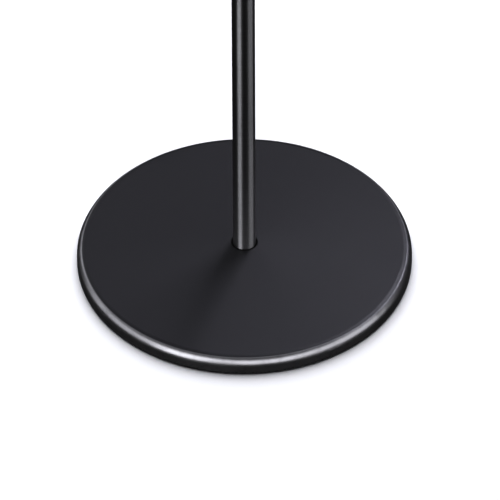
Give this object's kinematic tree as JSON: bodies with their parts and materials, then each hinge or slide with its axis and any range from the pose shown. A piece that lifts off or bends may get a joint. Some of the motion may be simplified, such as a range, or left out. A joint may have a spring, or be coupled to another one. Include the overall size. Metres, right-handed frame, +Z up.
{
  "type": "headphone stand",
  "caption": "Desktop headphone stand: round low metal base with a shallow crown, slim straight central pole, and an arched saddle with a leather-covered pad.",
  "frame": {"origin": "centre of the round base at the underside of its rubber foot pad, on the table", "axes": "+Z up along the pole; X along the saddle's arch, the way a hung headband runs from cup to cup; Y across the saddle's width"},
  "size_m": [0.148, 0.148, 0.28],
  "materials": {
    "coated_steel": "satin",
    "pole_finish": "gloss",
    "coated_alloy": "satin",
    "black_rubber": "matte",
    "adhesive_film": "satin",
    "black_oxide_steel": "satin",
    "zinc_steel": "satin",
    "board_plastic": "matte",
    "foam": "matte",
    "black_leather": "satin"
  },
  "bodies": {
    "root": {"base_disc": "coated_steel", "foot_pad": "black_rubber", "foot_pad_adhesive": "adhesive_film", "base_bolt": "black_oxide_steel", "base_lock_washer": "zinc_steel", "base_flat_washer": "zinc_steel", "pole_foot_ring": "black_rubber", "pole_tube": "pole_finish", "pole_lower_insert": "zinc_steel", "pole_upper_insert": "zinc_steel", "hanger_stud": "black_oxide_steel", "hanger_neck": "coated_alloy", "neck_screws": "black_oxide_steel", "saddle_plate": "coated_alloy", "pad_board": "board_plastic", "pad_foam": "foam", "pad_side_band": "black_leather", "pad_top_panel": "black_leather", "pad_screws": "zinc_steel"}
  },
  "joints": []
}
